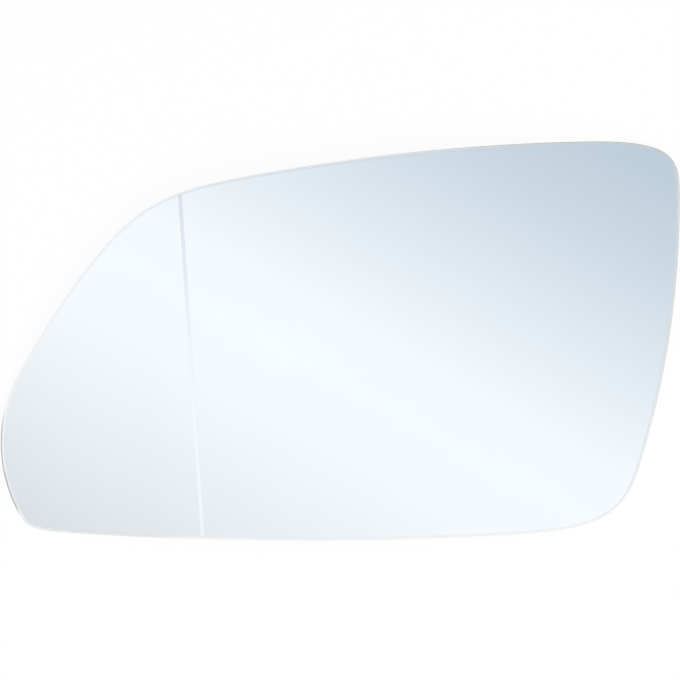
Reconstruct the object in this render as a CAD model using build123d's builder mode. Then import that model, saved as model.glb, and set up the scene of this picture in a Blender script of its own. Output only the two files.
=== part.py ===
"""Left-hand car door mirror glass: one pane of bent mirror glass, lying face up.

The pane is 2 mm glass bent over a large sphere, so its mirrored face bulges. Outside the etched
dividing line the bend tightens evenly towards the outer end, which widens the view there. The edge
is ground round towards the face and has a small flat arris at the back.

Millimetres and degrees. +X points along the glass to its inner end, beside the car, +Y to its
upper edge and +Z out of the mirrored face. The origin is under the middle of the glass, on the
surface that it lies on.
"""

import os
from math import asin, degrees, hypot

from build123d import *

# Corners of the outline, where two neighbouring sides would meet if they weren't rounded into each other
inner_top_x = 84.4
inner_top_y = 50.0
shoulder_x = -47.6
shoulder_y = 36.4
outer_tip_x = -82.5
outer_tip_y = -12.2
outer_foot_x = -77.9
outer_foot_y = -47.2
inner_foot_x = 69.5
inner_foot_y = -46.5

# Bow of each side: the height of its arc over the straight line between its two corners
top_bow = 4.1
slope_bow = 2.5
outer_bow = 4.6
bottom_bow = 3.1
inner_bow = 5.4

# Rounding of each corner: how far it runs back along the two sides that meet there
inner_top_run_on_inner = 11.0
inner_top_run_on_top = 24.0
shoulder_run_on_top = 22.5
shoulder_run_on_slope = 22.5
outer_tip_run_on_slope = 16.0
outer_tip_run_on_outer = 12.0
outer_foot_run_on_outer = 4.0
outer_foot_run_on_bottom = 8.5
inner_foot_run_on_bottom = 25.0
inner_foot_run_on_inner = 15.5
corner_fullness = 0.8

# Bent glass: the crown is the face's highest point as the pane lies
thickness = 2.0
main_radius = 1300.0
crown_x = -11.1
crown_y = 16.0

# Outer zone: the radius at the outer end, and how far out from the dividing line that is
outer_end_radius = 400.0
outer_zone_width = 47.0

# Etched dividing line: where it crosses the X axis, and its lean from the upright
line_x = -37.7
line_lean = 3.8
line_width = 0.95
line_depth = 0.08

# Ground edge: its rounding towards the face, and the flat arris that takes the sharpness off at the back
edge_rounding = 0.8
back_arris = 0.5

# Spare glass that the outline is cut from, on each side
blank_margin = 15.0


# Outline: five arched sides joined by rounded corners, counter-clockwise from the inner top
corners = [
    Vector(inner_top_x, inner_top_y),
    Vector(shoulder_x, shoulder_y),
    Vector(outer_tip_x, outer_tip_y),
    Vector(outer_foot_x, outer_foot_y),
    Vector(inner_foot_x, inner_foot_y),
]
bows = [top_bow, slope_bow, outer_bow, bottom_bow, inner_bow]
runs_before = [
    inner_top_run_on_inner,
    shoulder_run_on_top,
    outer_tip_run_on_slope,
    outer_foot_run_on_outer,
    inner_foot_run_on_bottom,
]
runs_after = [
    inner_top_run_on_top,
    shoulder_run_on_slope,
    outer_tip_run_on_outer,
    outer_foot_run_on_bottom,
    inner_foot_run_on_inner,
]


def arched_side(start):
    """The arc from one corner to the next, bowed outwards, without the stretches that are rounded."""
    end = (start + 1) % len(corners)
    whole = SagittaArc(corners[start], corners[end], -bows[start], mode=Mode.PRIVATE)
    return whole.trim(runs_after[start] / whole.length, 1 - runs_before[end] / whole.length)


def rounded_corner(arriving, leaving, run_before, run_after):
    """A corner as one smooth curve that starts and ends in line with its two sides."""
    return Bezier(
        arriving @ 1,
        arriving @ 1 + (arriving % 1) * (corner_fullness * run_before),
        leaving @ 0 - (leaving % 0) * (corner_fullness * run_after),
        leaving @ 0,
    )


with BuildSketch() as outline:
    with BuildLine():
        sides = [arched_side(start) for start in range(len(corners))]
        add(sides)
        for place in range(len(corners)):
            rounded_corner(sides[place - 1], sides[place], runs_before[place], runs_after[place])
    make_face()

# Bend: a section across the pane, swung about an axis through the centre of the main sphere
across = Vector(1, 0, 0).rotate(Axis.Z, line_lean)
sphere_centre = Vector(crown_x, crown_y, -main_radius)
swing_axis = Axis(sphere_centre, across)
reach = outline.sketch.bounding_box().diagonal / 2 + hypot(crown_x, crown_y) + blank_margin
half_swing = degrees(asin(reach / main_radius))
first_section = across.cross(Vector(0, 0, 1)).rotate(Axis((0, 0, 0), across), -half_swing)
section_plane = Plane(origin=sphere_centre, x_dir=across, z_dir=first_section)
line_from_crown = (Vector(line_x, 0) - Vector(crown_x, crown_y)).dot(across)
line_angle = 90 - degrees(asin(line_from_crown / main_radius))
inner_end_angle = 90 - half_swing
bend_growth = (1 / outer_end_radius - 1 / main_radius) / (6 * outer_zone_width)


def face_section(radius):
    """One face of the pane in section: an arc over the main zone, then a cubic over the outer zone.

    Past the dividing line the face drops from the tangent by s²/2r + growth·s³ at the distance s,
    so its bend starts as the arc's own and grows in step with the distance.
    """
    main = CenterArc((0, 0), radius, inner_end_angle, line_angle - inner_end_angle)
    at_line = main @ 1
    outwards = main % 1
    inwards = at_line * (-1 / radius)
    outer = Bezier(
        at_line,
        at_line + outwards * (reach / 3),
        at_line + outwards * (reach * 2 / 3) + inwards * (reach**2 / (6 * radius)),
        at_line + outwards * reach + inwards * (reach**2 / (2 * radius) + bend_growth * reach**3),
    )
    return main, outer


with BuildSketch(section_plane) as section:
    with BuildLine():
        front_main, front_outer = face_section(main_radius)
        back_main, back_outer = face_section(main_radius - thickness)
        Line(front_main @ 0, back_main @ 0)
        Line(front_outer @ 1, back_outer @ 1)
    make_face()

# Etched line: a shallow groove where the two zones meet, deepest along its inner side
with BuildSketch(section_plane) as etched_line:
    with PolarLocations(main_radius, 1, start_angle=line_angle):
        Polygon(
            (line_depth, -line_width / 2),
            (line_depth, line_width / 2),
            (0, line_width / 2),
            (-line_depth, -line_width / 2),
            align=None,
        )

# Pane: the bent sheet cut to the outline, its edge ground and its line etched
with BuildPart() as pane:
    revolve(section.sketch, axis=swing_axis, revolution_arc=2 * half_swing)
    extrude(outline.sketch, amount=reach, both=True, mode=Mode.INTERSECT)
    edge_faces = faces().filter_by(lambda face: abs(face.normal_at().Z) < 0.5)
    front_faces = faces().filter_by(lambda face: face.normal_at().Z > 0.5)
    back_faces = faces().filter_by(lambda face: face.normal_at().Z < -0.5)
    front_rim = front_faces.edges() & edge_faces.edges()
    back_rim = back_faces.edges() & edge_faces.edges()
    fillet(front_rim, edge_rounding)
    chamfer(back_rim, back_arris)
    revolve(etched_line.sketch, axis=swing_axis, revolution_arc=2 * half_swing, mode=Mode.SUBTRACT)

# Rest: the pane lies on the rim of its back, over the origin
pane_box = pane.part.bounding_box()
with BuildPart() as mirror_glass:
    with Locations((-pane_box.center().X, -pane_box.center().Y, -pane_box.min.Z)):
        add(pane.part)
mirror_glass.part.label = "mirror_glass"

os.makedirs("parts", exist_ok=True)
export_step(mirror_glass.part, "parts/mirror_glass.step")
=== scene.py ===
"""Looks of a car door mirror glass: one bent pane of mirror glass that lies face up on a pale floor.

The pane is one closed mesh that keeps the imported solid's form. Its face is fine enough to mirror
without ripples, and its face, etched line, ground edge and back each have their own finish.

The pane's own sizes are millimetres, as on its drawing. Its mesh and everything round it are metres,
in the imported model's frame: +X along the glass to its inner end, beside the car, +Y to its upper edge
and +Z out of the mirrored face.
"""

import logging
import math
from dataclasses import dataclass
from enum import Enum, IntEnum
from typing import Any

import bpy
import numpy as np
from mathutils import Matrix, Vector
from numpy.typing import NDArray


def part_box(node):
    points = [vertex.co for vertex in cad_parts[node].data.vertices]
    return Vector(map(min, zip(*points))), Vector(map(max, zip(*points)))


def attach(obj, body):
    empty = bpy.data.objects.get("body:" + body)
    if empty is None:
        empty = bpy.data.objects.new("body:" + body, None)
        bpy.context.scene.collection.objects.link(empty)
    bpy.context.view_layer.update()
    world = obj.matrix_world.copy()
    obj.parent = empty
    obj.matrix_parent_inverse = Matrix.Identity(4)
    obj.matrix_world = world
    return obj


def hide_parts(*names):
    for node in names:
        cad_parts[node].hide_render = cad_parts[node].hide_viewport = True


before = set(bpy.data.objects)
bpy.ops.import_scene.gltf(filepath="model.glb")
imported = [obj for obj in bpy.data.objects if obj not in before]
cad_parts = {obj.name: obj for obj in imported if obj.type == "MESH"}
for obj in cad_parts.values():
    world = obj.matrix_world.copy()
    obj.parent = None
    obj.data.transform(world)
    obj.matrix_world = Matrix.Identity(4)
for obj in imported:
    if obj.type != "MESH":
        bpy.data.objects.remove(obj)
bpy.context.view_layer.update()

# Kinds of values: a curve is its points and their tangents, a box its lowest and highest corner
Array = NDArray[np.float64]
Numbers = NDArray[np.int64]
Range = tuple[float, float]
Colour = tuple[float, float, float]
Direction = tuple[float, float, float]
Stop = tuple[float, Colour]
Curve = tuple[Array, Array]
Box = tuple[Vector, Vector]
Socket = bpy.types.NodeSocket
Sockets = dict[str | int, Any]

MM = 0.001
NODE = "mirror_glass"
BODY = "root"
BARE = "bare"
WHOLE: Range = (0.0, 1.0)
UP: Direction = (0.0, 0.0, 1.0)
LEVEL: Direction = (1.0, 1.0, 0.0)

log = logging.getLogger(NODE)


class Zone(IntEnum):
    """The parts of the pane's surface that differ in finish, numbered as its material slots."""

    FACE = 0
    LINE = 1
    EDGE = 2
    BACK = 3


class Crease(IntEnum):
    """The lines over the surface where its shading breaks. An edge with both ends on one is sharp."""

    NONE = 0
    LINE_OUTSIDE = 1
    FLANK_FOOT = 2
    LINE_INSIDE = 3
    WALL_FOOT = 4
    ARRIS_FOOT = 5


class Stretch(Enum):
    """The stretches of the rim between the seams of the surface, counter-clockwise from the inner top."""

    TOP = "top, from the inner corner to the etched line"
    LINE_TOP = "upper end of the etched line"
    SLOPE = "slope, from the etched line to the outer tip"
    NOSE = "outer end, from its tip to its foot"
    FOOT = "bottom, from the outer foot to the etched line"
    LINE_FOOT = "lower end of the etched line"
    BOTTOM = "bottom, from the etched line to the inner foot"
    INNER = "inner end, from its foot to the top"


def unit(vectors: Array) -> Array:
    """Vectors scaled to the length 1, along the last axis."""
    return vectors / np.linalg.norm(vectors, axis=-1, keepdims=True)


def turned_out(tangents: Array) -> Array:
    """Outward normals of a counter-clockwise curve: its tangents turned a quarter to the right."""
    return np.stack([tangents[..., 1], -tangents[..., 0]], axis=-1)


def gentle(steps: Array) -> Array:
    """A gentle step from 0 to 1 as the value goes from 0 to 1: 3v² − 2v³."""
    held = np.clip(steps, 0.0, 1.0)
    return held**2 * (3.0 - 2.0 * held)


def lifted(places: Array, heights: Array) -> Array:
    """Points of the plane with their heights as third coordinate."""
    return np.concatenate([places, heights[..., None]], axis=-1)


def straight(start: Array, end: Array, count: int) -> Array:
    """Evenly spaced points from start to end, both among them."""
    share = np.linspace(0.0, 1.0, count)[:, None]
    return (1.0 - share) * start + share * end


def foot(low: Array | Vector, high: Array | Vector) -> Array:
    """The middle of the bottom of a box, from its lowest and its highest corner."""
    return np.array([(low[0] + high[0]) / 2, (low[1] + high[1]) / 2, low[2]])


@dataclass(frozen=True)
class Corner:
    """A corner of the outline, where two sides would meet if they weren't rounded into each other.

    Attributes:
        x: Place along the glass.
        y: Place across the glass.
        run_before: How far the rounding runs back along the side that arrives.
        run_after: How far it runs on along the side that leaves.
        bow: Height of the leaving side's arc over the straight line to the next corner.
    """

    x: float
    y: float
    run_before: float
    run_after: float
    bow: float


@dataclass(frozen=True)
class Loop:
    """A closed curve, traced finely enough to be read at any distance along it.

    Attributes:
        points: Points of the curve, counter-clockwise.
        outwards: Outward normal at each point.
        travel: Distance along the curve at each point.
        length: Length of the whole curve.
        corner_marks: Distance along the curve of each corner's middle.
    """

    points: Array
    outwards: Array
    travel: Array
    length: float
    corner_marks: Array

    def read(self, travel: Array) -> tuple[Array, Array]:
        """Reads the curve between its points.

        Args:
            travel: Distances along the curve, which may run past its end.

        Returns:
            The points there, and their outward normals.
        """
        columns = np.concatenate([self.points, self.outwards], axis=1).T
        found = np.stack([np.interp(travel, self.travel, c, period=self.length) for c in columns], axis=1)
        return found[:, :2], unit(found[:, 2:])


@dataclass(frozen=True)
class Outline:
    """Outline of the pane: five arched sides joined by rounded corners.

    Attributes:
        corners: The corners, counter-clockwise from the inner top.
        fullness: Length of a corner's handles, as a share of its runs.
        fineness: Number of steps along each side and each corner of the traced curve.
    """

    corners: tuple[Corner, ...] = (
        Corner(84.4, 50.0, run_before=11.0, run_after=24.0, bow=4.1),
        Corner(-47.6, 36.4, run_before=22.5, run_after=22.5, bow=2.5),
        Corner(-82.5, -12.2, run_before=16.0, run_after=12.0, bow=4.6),
        Corner(-77.9, -47.2, run_before=4.0, run_after=8.5, bow=3.1),
        Corner(69.5, -46.5, run_before=25.0, run_after=15.5, bow=5.4),
    )
    fullness: float = 0.8
    fineness: int = 400

    def side(self, start: int) -> Curve:
        """The arched side that leaves a corner, without the stretches that are rounded.

        An arc with the bow b over a chord c has the radius (c²/4 + b²) / 2b. Its points are the
        centre plus the radius times (outwards · cos a + forwards · sin a).

        Args:
            start: Number of the corner.

        Returns:
            Points along the side, and the tangent at each.
        """
        here = self.corners[start]
        there = self.corners[(start + 1) % len(self.corners)]
        first = np.array([here.x, here.y])
        last = np.array([there.x, there.y])
        chord = float(np.linalg.norm(last - first))
        radius = (chord**2 / 4 + here.bow**2) / (2 * here.bow)
        forwards = (last - first) / chord
        outwards = turned_out(forwards)
        centre = (first + last) / 2 - outwards * (radius - here.bow)
        half = math.asin(chord / (2 * radius))
        begin = here.run_after / radius - half
        end = half - there.run_before / radius
        angle = np.linspace(begin, end, self.fineness + 1)[:, None]
        points = centre + radius * (outwards * np.cos(angle) + forwards * np.sin(angle))
        return points, forwards * np.cos(angle) - outwards * np.sin(angle)

    def rounding(self, place: int, arriving: Curve, leaving: Curve) -> Curve:
        """A corner as one cubic Bezier curve, in line with its two sides at its ends.

        Args:
            place: Number of the corner.
            arriving: Points and tangents of the side before it.
            leaving: Points and tangents of the side after it.

        Returns:
            Points along the corner, and the tangent at each.
        """
        corner = self.corners[place]
        a = arriving[0][-1]
        d = leaving[0][0]
        b = a + arriving[1][-1] * self.fullness * corner.run_before
        c = d - leaving[1][0] * self.fullness * corner.run_after
        t = np.linspace(0.0, 1.0, self.fineness + 1)[:, None]
        points = (1 - t) ** 3 * a + 3 * t * (1 - t) ** 2 * b + 3 * t**2 * (1 - t) * c + t**3 * d
        tangents = (1 - t) ** 2 * (b - a) + 2 * t * (1 - t) * (c - b) + t**2 * (d - c)
        return points, unit(tangents)

    def trace(self) -> Loop:
        """The whole outline, from the start of the inner top corner."""
        count = len(self.corners)
        sides = [self.side(start) for start in range(count)]
        runs = []
        for place in range(count):
            runs.append(self.rounding(place, sides[place - 1], sides[place]))
            runs.append(sides[place])
        points = np.concatenate([run[0][:-1] for run in runs])
        tangents = np.concatenate([run[1][:-1] for run in runs])
        steps = np.linalg.norm(np.roll(points, -1, axis=0) - points, axis=1)
        travel = np.concatenate([[0.0], np.cumsum(steps)[:-1]])
        marks = travel[self.fineness // 2 :: 2 * self.fineness]
        return Loop(points, turned_out(tangents), travel, float(steps.sum()), marks)


@dataclass(frozen=True)
class Bend:
    """Bend of the glass: a sphere over the main zone, tightening outside the dividing line.

    Attributes:
        main_radius: Radius of the face over the main zone.
        crown_x: Place of the face's highest point along the glass.
        crown_y: Its place across the glass.
        outer_end_radius: Radius that the bend has come down to at the outer end.
        outer_zone_width: How far the outer end is from the dividing line.
        line_x: Where the dividing line crosses the X axis.
        line_lean: Lean of the dividing line from the upright, in degrees.
        thickness: Thickness of the glass.
        rounds: How many times the distance along the outer zone is found anew.
    """

    main_radius: float = 1300.0
    crown_x: float = -11.1
    crown_y: float = 16.0
    outer_end_radius: float = 400.0
    outer_zone_width: float = 47.0
    line_x: float = -37.7
    line_lean: float = 3.8
    thickness: float = 2.0
    rounds: int = 7

    @property
    def across(self) -> Array:
        """Direction across the dividing line, towards the inner end."""
        lean = math.radians(self.line_lean)
        return np.array([math.cos(lean), math.sin(lean)])

    def from_line(self, places: Array) -> Array:
        """Distance of places from the dividing line, positive towards the inner end."""
        return (places - np.array([self.line_x, 0.0])) @ self.across

    def height(self, places: Array, depth: float = 0.0) -> Array:
        """Height of the bent glass over places of the plane, with the crown of the face at zero.

        A section across the line is swung about the axis through the sphere's centre. Its distance
        from that axis is that of the circle in the main zone. In the outer zone it drops from the
        circle's tangent by s²/2r + growth · s³ at the distance s along it from the line. Since the
        drop leans too, s is found in a few rounds.

        Args:
            places: Places in the plane.
            depth: How deep under the face the surface lies.

        Returns:
            The height at each place.
        """
        across = self.across
        along = np.array([-across[1], across[0]])
        crown = np.array([self.crown_x, self.crown_y])
        u = (places - crown) @ across
        v = (places - crown) @ along
        radius = self.main_radius - depth
        lean = math.asin(float((np.array([self.line_x, 0.0]) - crown) @ across) / self.main_radius)
        growth = (1 / self.outer_end_radius - 1 / self.main_radius) / (6 * self.outer_zone_width)
        line_u = radius * math.sin(lean)
        line_w = radius * math.cos(lean)
        drop = np.zeros_like(u)
        for _ in range(self.rounds):
            s = np.maximum(line_u - u - drop * math.sin(lean), 0.0) / math.cos(lean)
            drop = s**2 / (2 * radius) + growth * s**3
        outer = line_w + s * math.sin(lean) - drop * math.cos(lean)
        main = np.sqrt(radius**2 - u**2)
        return np.sqrt(np.where(u < line_u, outer, main) ** 2 - v**2) - self.main_radius

    def normals(self, places: Array, step: float = 0.01) -> Array:
        """Unit normals of the face, from the differences of its height over a small step either way."""
        shifts = step * np.eye(2)
        slopes = [self.height(places + shift) - self.height(places - shift) for shift in shifts]
        return unit(np.stack([-slopes[0], -slopes[1], np.full(len(places), 2 * step)], axis=-1))


@dataclass(frozen=True)
class EtchedLine:
    """Groove of the dividing line: a floor that slopes down to a short flank at its inner side.

    Attributes:
        width: Width of the groove.
        depth: Its depth at the foot of the flank.
        flank: Width that the flank takes up, enough for it to lean rather than stand.
        floor_steps: Number of columns of faces over the floor.
    """

    width: float = 0.95
    depth: float = 0.0452
    flank: float = 0.06
    floor_steps: int = 2

    def columns(self) -> Array:
        """Distances from the line's middle of the groove's columns of points, from outside to inside."""
        floor = np.linspace(-self.width / 2, self.width / 2 - self.flank, self.floor_steps + 1)
        return np.append(floor, self.width / 2)

    def depth_at(self, offset: Array) -> Array:
        """Depth of the groove at distances from its middle, zero beside it."""
        half = self.width / 2
        return np.interp(offset, [-half, half - self.flank, half], [0.0, self.depth, 0.0])


# Painted shade: bare, darker glass along a stretch of the rim stands in for the shade that falls there.
@dataclass(frozen=True)
class PaintedShadeStretch:
    """A stretch of the edge where the coat ends sooner or is thin. The bare glass there is painted shade.

    Attributes:
        x: Place of its middle along the glass.
        y: Its place across the glass.
        reach: How far from its middle it has half faded out.
        fade: Distance over which it fades out.
        ends_sooner: How much sooner the coat ends, as a share of the rounding.
        thinness: How bare the glass is under the coat, from 0 to 1.
    """

    x: float
    y: float
    reach: float
    fade: float
    ends_sooner: float = 0.0
    thinness: float = 0.0

    def share(self, outline: Array) -> Array:
        """How much of the stretch shows at points of the outline, fading gently with distance."""
        away = np.linalg.norm(outline - np.array([self.x, self.y]), axis=1)
        return gentle((self.reach - away) / self.fade + 0.5)


@dataclass(frozen=True)
class GroundEdge:
    """Ground edge of the pane: round towards the face, flat at the wall, with an arris at the back.

    Attributes:
        rounding: Radius of the rounding.
        arris: Width of the arris on the wall and on the back.
        coat_ends: How far round the rounding the coat reaches, from 0 at the face to 1 at the wall.
        coat_fade: How gradually the coat gives way to bare glass, in the same measure.
        painted_shade_stretches: Where the coat ends sooner or is thin, so that darker bare glass paints
            shade on the rim: the outer end, its foot and the bottom beside it, the inner upper corner,
            and the inner end under it.
        steps: Number of rows of faces over the rounding.
        guard: Width of the narrow row that keeps each face's shading apart from the edge's.
    """

    rounding: float = 0.8
    arris: float = 0.5
    coat_ends: float = 1.0
    coat_fade: float = 0.16
    # Painted shade: these stretches bare darker glass on the rim where it lies in shade.
    painted_shade_stretches: tuple[PaintedShadeStretch, ...] = (
        PaintedShadeStretch(-84.9, -27.0, reach=9.0, fade=12.0, ends_sooner=0.62),
        PaintedShadeStretch(-82.0, -37.0, reach=6.2, fade=4.0, ends_sooner=0.74),
        PaintedShadeStretch(-60.0, -48.0, reach=18.0, fade=16.0, thinness=0.34),
        PaintedShadeStretch(84.0, 48.0, reach=80.0, fade=110.0, ends_sooner=0.44),
        PaintedShadeStretch(80.0, 30.0, reach=45.0, fade=40.0, thinness=0.10),
    )
    steps: int = 12
    guard: float = 0.12

    def share_at(self, depth: float) -> float:
        """How far round the rounding has dropped by a depth, from 0 at the face to 1 at the wall."""
        return math.acos(1.0 - depth / self.rounding) / (math.pi / 2)

    def shares(self) -> Array:
        """How far round the rounding its rows of points are, from 0 at the face to 1 at the wall."""
        return np.linspace(0.0, 1.0, self.steps + 1)

    def bareness(self, outline: Array) -> Array:
        """How bare of the coat the rounding is: a gentle step where the coat ends.

        Along the stretches of painted shade the coat's end moves back towards the face, and a thin coat
        starts the step from its own bareness, so that the darker bare glass paints shade there.

        Args:
            outline: Point of the outline at each column.

        Returns:
            The bareness by row and column, from 0 for the coat to 1 for bare glass.
        """
        # Painted shade: the stretches pull the coat's end back and thin the coat, which bares darker
        # glass.
        shaded = [(stretch, stretch.share(outline)) for stretch in self.painted_shade_stretches]
        ends = self.coat_ends - np.max([stretch.ends_sooner * part for stretch, part in shaded], axis=0)
        thin = np.max([stretch.thinness * part for stretch, part in shaded], axis=0)
        return thin + (1.0 - thin) * gentle((self.shares()[:, None] - ends) / self.coat_fade + 0.5)


@dataclass(frozen=True)
class Patch:
    """A grid of the surface.

    Attributes:
        places: Points, by row and column. Rows towards columns turn counter-clockwise seen from outside.
        zones: Finish of each face.
        bare: How bare of the coat each point is, from 0 on the face to 1 on the wall.
        creases: Crease that each point is on.
    """

    places: Array
    zones: Numbers
    bare: Array
    creases: Numbers


def patch(places: Array, zones: Any, bare: Any = 0.0, creases: Any = Crease.NONE) -> Patch:
    """A patch whose zones, bareness and creases may be given once for rows, columns or all of it.

    Args:
        places: Points, by row and column.
        zones: Finish of the faces.
        bare: How bare of the coat the points are.
        creases: Creases that the points are on.

    Returns:
        The patch, with a value for each face and point.
    """
    rows, columns = places.shape[:2]
    return Patch(
        places,
        np.broadcast_to(np.asarray(zones, dtype=np.int64), (rows - 1, columns - 1)),
        np.broadcast_to(np.asarray(bare, dtype=np.float64), (rows, columns)),
        np.broadcast_to(np.asarray(creases, dtype=np.int64), (rows, columns)),
    )


def film(low: Array, high: Array, left: Array, right: Array, rounds: int = 400) -> Array:
    """Fills a frame of four curves with a grid, spread like a film between them.

    The start is the sum of the two ruled surfaces between opposite curves, less the one through the
    four corners. Then each inner point moves to the mean of its four neighbours, many times over.

    Args:
        low: Lower curve, from left to right.
        high: Upper curve, from left to right, with as many points.
        left: Left curve, from low to high.
        right: Right curve, from low to high, with as many points.
        rounds: How many times the points move.

    Returns:
        The grid's points, by place along low and place along left.
    """
    a = np.linspace(0.0, 1.0, len(low))[:, None, None]
    b = np.linspace(0.0, 1.0, len(left))[None, :, None]
    upwards = (1 - b) * low[:, None] + b * high[:, None]
    sideways = (1 - a) * left[None] + a * right[None]
    corners = (1 - b) * ((1 - a) * low[0] + a * low[-1]) + b * ((1 - a) * high[0] + a * high[-1])
    grid = upwards + sideways - corners
    grid[:, 0] = low
    grid[:, -1] = high
    grid[0] = left
    grid[-1] = right
    for _ in range(rounds):
        inner = grid[:-2, 1:-1] + grid[2:, 1:-1] + grid[1:-1, :-2] + grid[1:-1, 2:]
        grid[1:-1, 1:-1] = inner / 4
    return grid


@dataclass(frozen=True)
class Rim:
    """The rim's points in step with the patches of the faces.

    Attributes:
        outline: Points of the outline.
        outwards: Outward normals there.
        stretches: Numbers of the points along each stretch, with both its ends.
    """

    outline: Array
    outwards: Array
    stretches: dict[Stretch, Numbers]


@dataclass
class MirrorPane:
    """The pane: a bent sheet of mirror glass with a ground edge and an etched dividing line.

    Attributes:
        outline: Outline of the glass.
        bend: Its bend and thickness.
        line: Groove of the dividing line.
        edge: Its ground edge.
        rows: Number of rows of faces along the dividing line.
        main_columns: Number of columns of faces over the main zone.
        outer_columns: Number of columns over the outer zone.
        name: Name of the piece.
    """

    outline: Outline = Outline()
    bend: Bend = Bend()
    line: EtchedLine = EtchedLine()
    edge: GroundEdge = GroundEdge()
    rows: int = 112
    main_columns: int = 144
    outer_columns: int = 52
    name: str = "mirror_pane"

    def face_border(self, outline: Array, outwards: Array) -> tuple[Array, Array]:
        """Where the ball of the rounding touches the face.

        The ball lies a radius inside the outline, and touches the face along the face's normal.

        Args:
            outline: Points of the outline.
            outwards: Outward normals there.

        Returns:
            The points of contact in the plane, and the face's normals there.
        """
        under = outline - self.edge.rounding * outwards
        normals = self.bend.normals(under)
        return under + self.edge.rounding * normals[:, :2], normals

    def rim(self) -> Rim:
        """The rim's points, spread evenly over each stretch between the seams of the surface."""
        loop = self.outline.trace()
        border, _ = self.face_border(loop.points, loop.outwards)
        offset = self.bend.from_line(border - self.edge.guard * loop.outwards)
        inner_top, _, outer_tip, outer_foot, inner_foot = loop.corner_marks
        columns = self.line.columns()
        upper = (loop.travel > inner_top) & (loop.travel < outer_tip)
        lower = (loop.travel > outer_foot) & (loop.travel < inner_foot)
        line_top = np.interp(-columns[::-1], -offset[upper], loop.travel[upper])
        line_foot = np.interp(columns, offset[lower], loop.travel[lower])
        spans = {
            Stretch.TOP: np.linspace(inner_top, line_top[0], self.main_columns + 1),
            Stretch.LINE_TOP: line_top,
            Stretch.SLOPE: np.linspace(line_top[-1], outer_tip, self.outer_columns + 1),
            Stretch.NOSE: np.linspace(outer_tip, outer_foot, self.rows + 1),
            Stretch.FOOT: np.linspace(outer_foot, line_foot[0], self.outer_columns + 1),
            Stretch.LINE_FOOT: line_foot,
            Stretch.BOTTOM: np.linspace(line_foot[-1], inner_foot, self.main_columns + 1),
            Stretch.INNER: np.linspace(inner_foot, inner_top + loop.length, self.rows + 1),
        }
        travel = np.concatenate([span[:-1] for span in spans.values()])
        outline, outwards = loop.read(travel)
        stretches = {}
        start = 0
        for stretch, span in spans.items():
            stretches[stretch] = np.arange(start, start + len(span)) % len(travel)
            start += len(span) - 1
        return Rim(outline, outwards, stretches)

    def sheets(self, rim: Rim, border: Array) -> tuple[Array, Array, Array]:
        """Grids over the plane that fill a border: outer zone, etched line and main zone.

        Args:
            rim: The rim's points.
            border: Points of the border, in step with the rim's.

        Returns:
            The three grids' points, by place across the line and place along it.
        """
        run = {stretch: border[numbers] for stretch, numbers in rim.stretches.items()}
        count = self.rows + 1
        line_low = run[Stretch.LINE_FOOT]
        line_high = run[Stretch.LINE_TOP][::-1]
        outer_side = straight(line_low[0], line_high[0], count)
        inner_side = straight(line_low[-1], line_high[-1], count)
        outer = film(run[Stretch.FOOT], run[Stretch.SLOPE][::-1], run[Stretch.NOSE][::-1], outer_side)
        line = film(line_low, line_high, outer_side, inner_side, rounds=0)
        main = film(run[Stretch.BOTTOM], run[Stretch.TOP][::-1], inner_side, run[Stretch.INNER])
        return outer, line, main

    def front(self, rim: Rim, border: Array) -> list[Patch]:
        """The mirrored face inside its border, with the groove of the line.

        Args:
            rim: The rim's points.
            border: Border of the face, in step with the rim's points.

        Returns:
            The patches of the outer zone, the line and the main zone.
        """
        outer, line, main = self.sheets(rim, border)
        groove = self.line.depth_at(self.line.columns())[:, None]
        creases = self.line_creases()[:, None]
        return [
            patch(lifted(outer, self.bend.height(outer)), Zone.FACE),
            patch(lifted(line, self.bend.height(line) - groove), Zone.LINE, creases=creases),
            patch(lifted(main, self.bend.height(main)), Zone.FACE),
        ]

    def line_creases(self) -> Numbers:
        """Creases that the groove's columns are on: its two upper edges and the foot of its flank."""
        creases = np.full(len(self.line.columns()), Crease.NONE, dtype=np.int64)
        creases[[0, -2, -1]] = [Crease.LINE_OUTSIDE, Crease.FLANK_FOOT, Crease.LINE_INSIDE]
        return creases

    def back(self, rim: Rim, border: Array) -> list[Patch]:
        """The hollow back inside its border, a thickness under the face.

        Args:
            rim: The rim's points.
            border: Border of the back, in step with the rim's points.

        Returns:
            The patches of the outer zone, the strip under the line and the main zone.
        """
        depth = self.bend.thickness
        grids = [lifted(sheet, self.bend.height(sheet, depth)) for sheet in self.sheets(rim, border)]
        return [patch(grid.swapaxes(0, 1), Zone.BACK, bare=1.0) for grid in grids]

    def front_rows(self, rim: Rim) -> Array:
        """Rows of the edge from a narrow one on the face to the end of the rounding.

        The rounding is a ball that rolls along the rim: its points turn from the face's normal to
        the outward one by equal angles. Where the line runs out over it, the groove's floor cuts it
        as far as it is deep.

        Args:
            rim: The rim's points.

        Returns:
            The rows' points, in step with the rim's.
        """
        edge = self.edge
        border, normals = self.face_border(rim.outline, rim.outwards)
        flat = lifted(rim.outwards, np.zeros(len(rim.outwards)))
        facing = (normals * flat).sum(axis=1, keepdims=True)
        sideways = unit(flat - facing * normals)
        turn = edge.shares()[:, None, None] * np.arccos(facing)
        centre = lifted(border, self.bend.height(border)) - edge.rounding * normals
        rounding = centre + edge.rounding * (normals * np.cos(turn) + sideways * np.sin(turn))
        inside = border - edge.guard * rim.outwards
        rows = np.concatenate([lifted(inside, self.bend.height(inside))[None], rounding])
        groove = self.line.depth_at(self.bend.from_line(inside))
        rows[..., 2] = np.minimum(rows[..., 2], self.bend.height(rows[..., :2]) - groove)
        return rows

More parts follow.
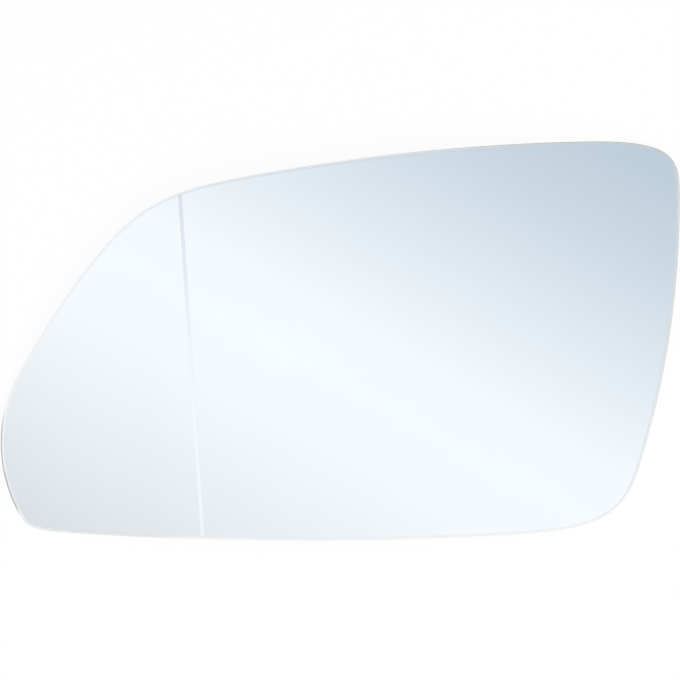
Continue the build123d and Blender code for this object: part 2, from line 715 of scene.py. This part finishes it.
    def back_rows(self, rim: Rim) -> Array:
        """Rows of the edge from the foot of its wall, over the arris, to a narrow one on the back.

        Args:
            rim: The rim's points.

        Returns:
            The rows' points, in step with the rim's.
        """
        depth = self.bend.thickness
        wall_foot = lifted(rim.outline, self.bend.height(rim.outline, depth) + self.edge.arris)
        arris_foot = rim.outline - self.edge.arris * rim.outwards
        inside = arris_foot - self.edge.guard * rim.outwards
        flat_rows = [lifted(row, self.bend.height(row, depth)) for row in (arris_foot, inside)]
        return np.stack([wall_foot, *flat_rows])

    def border_rows(self, rim: Rim) -> Patch:
        """The edge all round, from a narrow row on the face to a narrow row on the back.

        The line's finish runs out over the rounding as far as the groove cuts it.

        Args:
            rim: The rim's points.

        Returns:
            The edge's patch, whose last column is its first again.
        """
        front = self.front_rows(rim)
        places = np.concatenate([front, self.back_rows(rim)])
        line_top = rim.stretches[Stretch.LINE_TOP]
        line_foot = rim.stretches[Stretch.LINE_FOOT]

        line_rows = 1 + int(self.edge.share_at(self.line.depth) * self.edge.steps)
        zones = np.full((len(places) - 1, len(rim.outline)), Zone.EDGE, dtype=np.int64)
        zones[0] = Zone.FACE
        zones[:line_rows, line_top[:-1]] = Zone.LINE
        zones[:line_rows, line_foot[:-1]] = Zone.LINE
        zones[-1] = Zone.BACK

        bare = np.ones(places.shape[:2])
        bare[0] = 0.0
        bare[1 : len(front)] = self.edge.bareness(rim.outline)

        creases = np.full(places.shape[:2], Crease.NONE, dtype=np.int64)
        creases[: len(front), line_foot] = self.line_creases()
        creases[: len(front), line_top] = self.line_creases()[::-1]
        creases[-3] = Crease.WALL_FOOT
        creases[-2] = Crease.ARRIS_FOOT
        closed = [np.concatenate([grid, grid[:, :1]], axis=1) for grid in (places, bare, creases)]
        return patch(closed[0], zones, closed[1], closed[2])

    def surface(self) -> list[Patch]:
        """All patches of the pane, in millimetres, with the crown of its face at the height zero."""
        rim = self.rim()
        border_rows = self.border_rows(rim)
        face_border = border_rows.places[0, :-1, :2]
        back_border = border_rows.places[-1, :-1, :2]
        return [*self.front(rim, face_border), border_rows, *self.back(rim, back_border)]

    def build(self, box: Box) -> bpy.types.Object:
        """Makes the pane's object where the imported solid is.

        Args:
            box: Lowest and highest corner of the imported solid.

        Returns:
            The object, with no materials yet.
        """
        patches = self.surface()
        corners = np.concatenate([grid.places.reshape(-1, 3) for grid in patches])
        shift = foot(*box) / MM - foot(corners.min(axis=0), corners.max(axis=0))
        mesh = welded(self.name, patches, shift, MM)
        pane = bpy.data.objects.new(self.name, mesh)
        bpy.context.scene.collection.objects.link(pane)
        return pane

    def dress(self, pane: bpy.types.Object, finishes: dict[Zone, bpy.types.Material]) -> None:
        """Gives the pane's zones their finishes.

        Args:
            pane: The pane's object.
            finishes: Material of each zone.
        """
        for zone in Zone:
            pane.data.materials.append(finishes[zone])


def corner_numbers(patches: list[Patch], numbers: Numbers) -> Numbers:
    """Numbers of the corners of every face, patch by patch and row by row.

    Args:
        patches: The patches.
        numbers: Number in the mesh of each of the patches' points.

    Returns:
        The four numbers of each face, counter-clockwise seen from outside.
    """
    quads = []
    start = 0
    for grid in patches:
        rows, columns = grid.places.shape[:2]
        index = numbers[start : start + rows * columns].reshape(rows, columns)
        corners = [index[:-1, :-1], index[1:, :-1], index[1:, 1:], index[:-1, 1:]]
        quads.append(np.stack(corners, axis=-1).reshape(-1, 4))
        start += rows * columns
    return np.concatenate(quads)


def welded(name: str, patches: list[Patch], shift: Array, scale: float) -> bpy.types.Mesh:
    """Joins patches to one mesh, with the points that they share made one.

    Args:
        name: Name of the mesh.
        patches: The patches, whose borders meet point by point.
        shift: What is added to the points, in the patches' units.
        scale: Length of the patches' unit.

    Returns:
        The mesh, smooth but for its creases.
    """
    weld_digits = 6
    places = np.concatenate([grid.places.reshape(-1, 3) for grid in patches])
    keys = np.round(places, weld_digits)
    _, firsts, numbers = np.unique(keys, axis=0, return_index=True, return_inverse=True)
    numbers = numbers.reshape(-1)
    bare = np.zeros(len(firsts))
    creases = np.full(len(firsts), Crease.NONE, dtype=np.int64)
    np.maximum.at(bare, numbers, np.concatenate([grid.bare.ravel() for grid in patches]))
    np.maximum.at(creases, numbers, np.concatenate([grid.creases.ravel() for grid in patches]))

    faces = corner_numbers(patches, numbers)
    mesh = bpy.data.meshes.new(name)
    mesh.vertices.add(len(firsts))
    mesh.vertices.foreach_set("co", ((places[firsts] + shift) * scale).astype(np.float32).ravel())
    mesh.loops.add(faces.size)
    mesh.loops.foreach_set("vertex_index", faces.astype(np.int32).ravel())
    mesh.polygons.add(len(faces))
    mesh.polygons.foreach_set("loop_start", np.arange(0, faces.size, 4, dtype=np.int32))
    zones = np.concatenate([grid.zones.ravel() for grid in patches])
    mesh.polygons.foreach_set("material_index", zones.astype(np.int32))
    mesh.update(calc_edges=True)
    mesh.shade_smooth()
    ends = np.zeros(2 * len(mesh.edges), dtype=np.int32)
    mesh.edges.foreach_get("vertices", ends)
    crease_ends = creases[ends.reshape(-1, 2)]
    sharp = (crease_ends[:, 0] != Crease.NONE) & (crease_ends[:, 0] == crease_ends[:, 1])
    mesh.edges.foreach_set("use_edge_sharp", sharp)
    mesh.attributes.new(BARE, "FLOAT", "POINT").data.foreach_set("value", bare.astype(np.float32))
    mesh.validate()
    return mesh


class Graph:
    """A node tree that short calls fill."""

    def __init__(self, tree: bpy.types.NodeTree) -> None:
        """Takes a tree and empties it."""
        tree.nodes.clear()
        self.tree = tree

    def add(self, kind: str, sockets: Sockets | None = None, **settings: Any) -> bpy.types.Node:
        """Adds a node.

        Args:
            kind: The node's type.
            sockets: What goes into its inputs, by name or number: a value, or an output to link.
            settings: The node's own settings.

        Returns:
            The node.
        """
        node = self.tree.nodes.new(kind)
        for name, value in settings.items():
            setattr(node, name, value)
        for name, value in (sockets or {}).items():
            if isinstance(value, Socket):
                self.tree.links.new(value, node.inputs[name])
            else:
                node.inputs[name].default_value = value
        return node

    def ramp(self, factor: Socket, stops: tuple[Stop, ...]) -> Socket:
        """Turns a factor into a colour that runs straight from stop to stop.

        Args:
            factor: The factor, from 0 to 1.
            stops: Places and colours, in rising order.

        Returns:
            The colour's output.
        """
        node = self.add("ShaderNodeValToRGB", {"Fac": factor})
        elements = node.color_ramp.elements
        elements[0].position = stops[0][0]
        elements[1].position = stops[-1][0]
        for place, _ in stops[1:-1]:
            elements.new(place)
        for element, (_, colour) in zip(elements, stops):
            element.color = (*colour, 1.0)
        return node.outputs["Color"]

    def fade(self, factor: Socket, between: Range, low: Colour, high: Colour) -> Socket:
        """Fades from one colour to another.

        Args:
            factor: The factor, from 0 to 1.
            between: Values of the factor where the fade begins and ends.
            low: The first colour.
            high: The second colour.

        Returns:
            The colour's output.
        """
        return self.ramp(factor, ((between[0], low), (between[1], high)))

    def span(self, value: Socket, source: Range, target: Range, smooth: bool = False) -> Socket:
        """Carries a value from one range over to another, and holds it at the ends.

        Args:
            value: The value.
            source: Range that it comes from.
            target: Range that it goes to.
            smooth: Whether it starts and ends gently.

        Returns:
            The new value's output.
        """
        ends = {"From Min": source[0], "From Max": source[1], "To Min": target[0], "To Max": target[1]}
        kind = "SMOOTHSTEP" if smooth else "LINEAR"
        node = self.add("ShaderNodeMapRange", {"Value": value, **ends}, interpolation_type=kind)
        return node.outputs["Result"]

    def along(self, direction: Socket, axis: Direction) -> Socket:
        """How far a direction goes along an axis, as its dot product with the axis."""
        node = self.add("ShaderNodeVectorMath", {0: direction, 1: axis}, operation="DOT_PRODUCT")
        return node.outputs["Value"]

    def plus(self, first: Socket, second: Socket) -> Socket:
        """The sum of two values."""
        return self.add("ShaderNodeMath", {0: first, 1: second}, operation="ADD").outputs[0]

    def level(self, direction: Socket) -> Socket:
        """A direction brought down to the horizontal, with the length 1."""
        flat = self.add("ShaderNodeVectorMath", {0: direction, 1: LEVEL}, operation="MULTIPLY")
        node = self.add("ShaderNodeVectorMath", {0: flat.outputs["Vector"]}, operation="NORMALIZE")
        return node.outputs["Vector"]

    def mix(self, factor: Any, first: Any, second: Any, blend: str = "MIX") -> Socket:
        """Mixes two colours.

        Args:
            factor: Share of the second one, as a value or an output.
            first: The first colour, as a value or an output.
            second: The second colour.
            blend: How they are mixed.

        Returns:
            The mixed colour's output.
        """
        # The node has inputs for numbers, vectors and colours, and these are the ones for colours
        sides = {0: factor, 6: first, 7: second}
        return self.add("ShaderNodeMix", sides, data_type="RGBA", blend_type=blend).outputs[2]

    def noise(self, size: float, detail: float = 2.0) -> Socket:
        """A cloudy pattern in the piece's own frame.

        Args:
            size: Size of its clouds in metres.
            detail: How many finer layers it has.

        Returns:
            The pattern's output, about 0.5 on average.
        """
        place = self.add("ShaderNodeTexCoord").outputs["Object"]
        node = self.add("ShaderNodeTexNoise", {"Vector": place, "Scale": 1.0 / size, "Detail": detail})
        return node.outputs["Fac"]

    def bump(self, height: Socket, strength: float | Socket, depth: float) -> Socket:
        """Tilts the surface as a pattern rises and falls.

        Args:
            height: The pattern, from 0 to 1.
            strength: How much of its depth shows, from 0 to 1.
            depth: Depth of the pattern in metres.

        Returns:
            The tilted normal's output.
        """
        sockets = {"Height": height, "Strength": strength, "Distance": depth}
        return self.add("ShaderNodeBump", sockets).outputs["Normal"]

    def seen_rays(self) -> Socket:
        """One for rays from the camera, from gloss and through glass, and zero for diffuse light."""
        path = self.add("ShaderNodeLightPath").outputs
        some = self.plus(path["Is Camera Ray"], path["Is Glossy Ray"])
        return self.span(self.plus(some, path["Is Transmission Ray"]), WHOLE, WHOLE)

    def principled(self, surface: Sockets) -> None:
        """Ends the graph in a principled surface with the given inputs."""
        shader = self.add("ShaderNodeBsdfPrincipled", surface)
        self.add("ShaderNodeOutputMaterial", {"Surface": shader.outputs["BSDF"]})


def new_material(name: str) -> tuple[bpy.types.Material, Graph]:
    """Makes an empty node material.

    Args:
        name: Its name.

    Returns:
        The material, and its graph.
    """
    material = bpy.data.materials.new(name)
    material.use_nodes = True
    return material, Graph(material.node_tree)


@dataclass(frozen=True)
class MirrorCoat:
    """Metal coat of the face: a clear mirror with a faint blue cast and the slightest haze.

    Attributes:
        clear: Colour of the coat.
        veiled: Its colour under the haze.
        haze_size: Size of the haze's clouds.
        haze_detail: How many finer layers they have.
        haze_between: Values of the clouds' pattern between which the haze thickens.
        polish: Roughness where the coat is clear, and where it is veiled.
    """

    clear: Colour = (0.922, 0.966, 0.998)
    veiled: Colour = (0.917, 0.962, 0.995)
    haze_size: float = 45 * MM
    haze_detail: float = 3.0
    haze_between: Range = (0.35, 0.65)
    polish: Range = (0.006, 0.018)

    def material(self) -> bpy.types.Material:
        """Makes the coat's material."""
        material, graph = new_material("mirror_coat")
        clouds = graph.noise(self.haze_size, self.haze_detail)
        haze = graph.span(clouds, self.haze_between, WHOLE, smooth=True)
        surface = {
            "Base Color": graph.fade(haze, WHOLE, self.clear, self.veiled),
            "Metallic": 1.0,
            "Roughness": graph.span(haze, WHOLE, self.polish),
        }
        graph.principled(surface)
        return material


@dataclass(frozen=True)
class EtchedCoat:
    """Coat on the etched line: the mirror's metal over a finely roughened floor.

    Attributes:
        bright: Colour of the grain's crests.
        dull: Colour of its pits.
        grain_size: Size of the grain.
        grain_between: Values of the grain's pattern in its pits and on its crests.
        grain_depth: Depth of the grain.
        grain_strength: How much of that depth shows.
        roughness: Roughness of pits and crests.
    """

    bright: Colour = (0.919, 0.963, 0.993)
    dull: Colour = (0.890, 0.943, 0.982)
    grain_size: float = 0.12 * MM
    grain_between: Range = (0.3, 0.7)
    grain_depth: float = 0.0005 * MM
    grain_strength: float = 0.4
    roughness: Range = (0.05, 0.09)

    def material(self) -> bpy.types.Material:
        """Makes the etched coat's material."""
        material, graph = new_material("etched_coat")
        grain = graph.noise(self.grain_size)
        surface = {
            "Base Color": graph.fade(grain, self.grain_between, self.dull, self.bright),
            "Metallic": 1.0,
            "Roughness": graph.span(grain, self.grain_between, self.roughness),
            "Normal": graph.bump(grain, self.grain_strength, self.grain_depth),
        }
        graph.principled(surface)
        return material


@dataclass(frozen=True)
class GroundGlass:
    """Ground edge: the coat reaches over its rounding, and its wall is bare frosted glass.

    Attributes:
        coat: Colour of the coat near the face.
        frosted: Colour of the frosted wall.
        pitted: Its colour in the pits of the grinding.
        grain_size: Size of the grinding's grain.
        grain_detail: How many finer layers it has.
        grain_between: Values of the grain's pattern in its pits and on its crests.
        grain_depth: Depth of the grain.
        grain_strength: How much of that depth shows on the coat, and on the frosted wall.
        roughness: Roughness of the coat and of the frosted wall.
        refraction: Index of refraction of the glass.
    """

    coat: Colour = (0.98, 0.988, 0.992)
    frosted: Colour = (0.50, 0.53, 0.515)
    pitted: Colour = (0.45, 0.48, 0.465)
    grain_size: float = 0.18 * MM
    grain_detail: float = 4.0
    grain_between: Range = (0.35, 0.65)
    grain_depth: float = 0.004 * MM
    grain_strength: Range = (0.05, 0.5)
    roughness: Range = (0.42, 0.46)
    refraction: float = 1.52

    def material(self) -> bpy.types.Material:
        """Makes the ground edge's material."""
        material, graph = new_material("ground_glass")
        bare = graph.add("ShaderNodeAttribute", attribute_name=BARE).outputs["Fac"]
        grain = graph.noise(self.grain_size, self.grain_detail)
        wall = graph.fade(grain, self.grain_between, self.pitted, self.frosted)
        strength = graph.span(bare, WHOLE, self.grain_strength)
        surface = {
            # Along the stretches of painted shade the bareness also brings the darker frosted colour onto
            # the rounding.
            "Base Color": graph.mix(bare, (*self.coat, 1.0), wall),
            "Metallic": graph.span(bare, WHOLE, WHOLE[::-1]),
            "Roughness": graph.span(bare, WHOLE, self.roughness),
            "IOR": self.refraction,
            "Normal": graph.bump(grain, strength, self.grain_depth),
        }
        graph.principled(surface)
        return material


@dataclass(frozen=True)
class BackPaint:
    """Protective paint on the back: grey, rolled on, with a fine stipple.

    Attributes:
        paint: Colour of the paint.
        thin: Its colour where it lies thin.
        cloud_size: Size of the thin places.
        cloud_detail: How many finer layers they have.
        thin_between: Values of the clouds' pattern between which the paint thins.
        stipple_size: Size of the stipple.
        stipple_between: Values of the stipple's pattern where the paint is smoothest and dullest.
        stipple_depth: Depth of the stipple.
        stipple_strength: How much of that depth shows.
        roughness: Roughness from its smoothest to its dullest.
    """

    paint: Colour = (0.115, 0.12, 0.125)
    thin: Colour = (0.155, 0.162, 0.168)
    cloud_size: float = 14 * MM
    cloud_detail: float = 5.0
    thin_between: Range = (0.4, 0.65)
    stipple_size: float = 0.9 * MM
    stipple_between: Range = (0.3, 0.7)
    stipple_depth: float = 0.02 * MM
    stipple_strength: float = 0.6
    roughness: Range = (0.42, 0.58)

    def material(self) -> bpy.types.Material:
        """Makes the paint's material."""
        material, graph = new_material("back_paint")
        clouds = graph.noise(self.cloud_size, self.cloud_detail)
        stipple = graph.noise(self.stipple_size)
        surface = {
            "Base Color": graph.fade(clouds, self.thin_between, self.paint, self.thin),
            "Roughness": graph.span(stipple, self.stipple_between, self.roughness),
            "Normal": graph.bump(stipple, self.stipple_strength, self.stipple_depth),
        }
        graph.principled(surface)
        return material


@dataclass(frozen=True)
class Surroundings:
    """The studio that the glass mirrors, and the even light that it gives.

    Over the glass is a ceiling that shades from grey over white to blue-grey along one direction, and
    bends towards the outer end's side. Lower down it passes into pale walls, which turn blue-grey on
    one side. Round them run two duller bands, and over each a strip of light.

    Attributes:
        shading: Direction along which the ceiling shades.
        reach: Sine of the angle from the zenith that the ceiling's stops cover, either way.
        ceiling: The ceiling's stops, from 0 at one end of the reach to 1 at the other.
        outer_side: Direction of the outer end's side.
        bent_over: Sines of the angle towards that side between which the ceiling bends.
        bent_by: How far it has bent at the end of them, in the measure of the reach.
        blue_side: Direction of the blue-grey walls.
        walls: The walls' stops, from 0 square to the blue-grey side, or behind that, to 1 towards it.
        band: What the walls are dulled by, by the sine of the height over the horizon.
        strips: How much of the strips of light shows, from 0 to 1, by the same sine.
        strip_light: Colour of the strips.
        ceiling_from: Sine of the height where the walls start to pass into the ceiling.
        ceiling_full: Sine of the height where the ceiling has begun.
        light: Colour of the even light on dull surfaces.
        light_level: Strength of that light.
    """

    shading: Direction = (0.485, 0.875, 0.0)
    reach: float = 0.20
    ceiling: tuple[Stop, ...] = (
        (0.00, (0.718, 0.720, 0.745)),
        (0.095, (0.800, 0.802, 0.822)),
        (0.16, (0.856, 0.858, 0.864)),
        (0.22, (0.901, 0.902, 0.907)),
        (0.33, (0.981, 0.982, 0.986)),
        (0.42, (1.000, 1.000, 1.000)),
        (0.49, (0.985, 0.988, 0.993)),
        (0.66, (0.770, 0.813, 0.859)),
        (0.755, (0.656, 0.719, 0.774)),
        (0.85, (0.570, 0.645, 0.715)),
        (1.00, (0.520, 0.600, 0.680)),
    )
    outer_side: Direction = (-0.998, -0.066, 0.0)
    bent_over: Range = (0.09, 0.29)
    bent_by: float = 0.052
    blue_side: Direction = (0.707, 0.707, 0.0)
    walls: tuple[Stop, ...] = (
        (0.00, (0.985, 0.987, 0.990)),
        (0.44, (0.985, 0.987, 0.990)),
        (0.56, (0.940, 0.952, 0.962)),
        (0.63, (0.640, 0.715, 0.775)),
        (0.72, (0.430, 0.520, 0.595)),
        (1.00, (0.385, 0.475, 0.550)),
    )
    band: tuple[Stop, ...] = (
        (0.04, (1.00, 1.00, 1.00)),
        (0.14, (0.61, 0.66, 0.71)),
        (0.31, (0.96, 0.965, 0.97)),
        (0.46, (0.71, 0.755, 0.80)),
        (0.62, (0.96, 0.968, 0.976)),
        (0.74, (1.00, 1.00, 1.00)),
    )
    strips: tuple[tuple[float, float], ...] = (
        (0.21, 0.0),
        (0.30, 1.0),
        (0.32, 1.0),
        (0.42, 0.0),
        (0.49, 0.0),
        (0.57, 0.6),
        (0.59, 0.6),
        (0.68, 0.0),
    )
    strip_light: Colour = (0.97, 0.975, 0.98)
    ceiling_from: float = 0.93
    ceiling_full: float = 0.97
    light: Colour = (0.985, 0.99, 1.0)
    light_level: float = 0.72

    def build(self) -> None:
        """Makes the world: seen by the camera and in gloss as the studio, elsewhere as even light."""
        world = bpy.data.worlds.new("studio")
        world.use_nodes = True
        graph = Graph(world.node_tree)
        direction = graph.add("ShaderNodeTexCoord").outputs["Generated"]
        bent = graph.span(graph.along(direction, self.outer_side), self.bent_over, (0.0, self.bent_by))
        along = graph.plus(graph.along(direction, self.shading), bent)
        ceiling = graph.ramp(graph.span(along, (-self.reach, self.reach), WHOLE), self.ceiling)
        height = graph.along(direction, UP)
        walls = graph.ramp(graph.along(graph.level(direction), self.blue_side), self.walls)
        dulled = graph.mix(1.0, walls, graph.ramp(height, self.band), "MULTIPLY")
        strips = graph.ramp(height, tuple((place, (share, share, share)) for place, share in self.strips))
        lit = graph.mix(strips, dulled, (*self.strip_light, 1.0))
        overhead = graph.span(height, (self.ceiling_from, self.ceiling_full), WHOLE, smooth=True)
        colour = graph.mix(overhead, lit, ceiling)
        seen = graph.add("ShaderNodeBackground", {"Color": colour, "Strength": 1.0})
        even_light = {"Color": (*self.light, 1.0), "Strength": self.light_level}
        even = graph.add("ShaderNodeBackground", even_light)
        sides = {0: graph.seen_rays(), 1: even.outputs[0], 2: seen.outputs[0]}
        surface = graph.add("ShaderNodeMixShader", sides)
        graph.add("ShaderNodeOutputWorld", {"Surface": surface.outputs[0]})
        bpy.context.scene.world = world


@dataclass(frozen=True)
class Floor:
    """Plain pale floor under the pane.

    Attributes:
        half_width: Half the width of its square.
        colour: Its colour.
        own_white: Share of plain white in what the camera sees of it. The rest shows light and shadow.
    """

    half_width: float = 4.0
    colour: Colour = (0.96, 0.96, 0.96)
    own_white: float = 0.94

    def build(self) -> bpy.types.Object:
        """Makes the floor, as a square at the height zero."""
        material, graph = new_material("floor")
        dull = graph.add("ShaderNodeBsdfDiffuse", {"Color": (*self.colour, 1.0)})
        white = graph.add("ShaderNodeEmission", {"Color": (1.0, 1.0, 1.0, 1.0), "Strength": 1.0})
        share = graph.span(graph.seen_rays(), WHOLE, (0.0, self.own_white))
        surface = graph.add("ShaderNodeMixShader", {0: share, 1: dull.outputs[0], 2: white.outputs[0]})
        graph.add("ShaderNodeOutputMaterial", {"Surface": surface.outputs[0]})
        half = self.half_width
        corners = [(-half, -half, 0.0), (half, -half, 0.0), (half, half, 0.0), (-half, half, 0.0)]
        mesh = bpy.data.meshes.new("floor")
        mesh.from_pydata(corners, [], [(0, 1, 2, 3)])
        mesh.materials.append(material)
        floor = bpy.data.objects.new("floor", mesh)
        bpy.context.scene.collection.objects.link(floor)
        return floor


@dataclass(frozen=True)
class KeyLamp:
    """Soft lamp beside the lower edge, which leaves the outer end and the upper edge in shade.

    Attributes:
        place: Where the lamp hangs.
        width: Width of its round panel.
        power: Its power in watts.
        colour: Colour of its light.
    """

    place: tuple[float, float, float] = (0.30, -0.68, 0.75)
    width: float = 0.55
    power: float = 5.2
    colour: Colour = (1.0, 0.99, 0.975)

    def build(self) -> bpy.types.Object:
        """Makes the lamp, aimed at the pane."""
        lamp = bpy.data.lights.new("key_lamp", "AREA")
        lamp.shape = "DISK"
        lamp.size = self.width
        lamp.energy = self.power
        lamp.color = self.colour
        holder = bpy.data.objects.new("key_lamp", lamp)
        holder.location = self.place
        holder.rotation_euler = (-Vector(self.place)).to_track_quat("-Z", "Y").to_euler()
        holder.visible_glossy = False
        bpy.context.scene.collection.objects.link(holder)
        return holder


@dataclass(frozen=True)
class TopCamera:
    """Camera straight over the pane, whose long side nearly fills the picture.

    Attributes:
        lens: Focal length in millimetres.
        sensor: Width of the sensor in millimetres.
        picture: Width of the square picture in pixels.
        pane_width: Width of the pane in the picture, in pixels.
        pane_right: How far the pane's middle is right of the picture's middle, in pixels.
        pane_down: How far it is below the picture's middle, in pixels.
        rim_height: Height of the rim where the pane is widest.
    """

    lens: float = 400.0
    sensor: float = 36.0
    picture: float = 680.0
    pane_width: float = 678.8
    pane_right: float = 0.23
    pane_down: float = 1.2
    rim_height: float = 1.2 * MM

    def build(self, box: Box) -> bpy.types.Object:
        """Makes the camera, and has the scene seen through it.

        Args:
            box: Lowest and highest corner of the pane.

        Returns:
            The camera's object.
        """
        pixel = (box[1].x - box[0].x) / self.pane_width
        middle = (box[0] + box[1]) / 2
        distance = pixel * self.picture * self.lens / self.sensor
        camera = bpy.data.cameras.new("top_camera")
        camera.lens = self.lens
        camera.sensor_width = self.sensor
        holder = bpy.data.objects.new("top_camera", camera)
        holder.location = (
            middle.x - self.pane_right * pixel,
            middle.y + self.pane_down * pixel,
            self.rim_height + distance,
        )
        bpy.context.scene.collection.objects.link(holder)
        bpy.context.scene.camera = holder
        return holder


def main() -> None:
    """Builds the pane, dresses it, and sets it in its studio."""
    logging.basicConfig(level=logging.INFO, format="%(message)s")
    bpy.context.scene.view_settings.view_transform = "Standard"

    pane_maker = MirrorPane()
    pane = pane_maker.build(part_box(NODE))
    finishes = {
        Zone.FACE: MirrorCoat().material(),
        Zone.LINE: EtchedCoat().material(),
        Zone.EDGE: GroundGlass().material(),
        Zone.BACK: BackPaint().material(),
    }
    pane_maker.dress(pane, finishes)
    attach(pane, BODY)
    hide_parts(NODE)
    log.info("%s: %d faces in %d finishes", pane.name, len(pane.data.polygons), len(pane.data.materials))

    Surroundings().build()
    log.info("%s: studio to mirror", bpy.context.scene.world.name)
    for made in (Floor().build(), KeyLamp().build(), TopCamera().build(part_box(NODE))):
        log.info("%s: made", made.name)


if __name__ == "__main__":
    main()
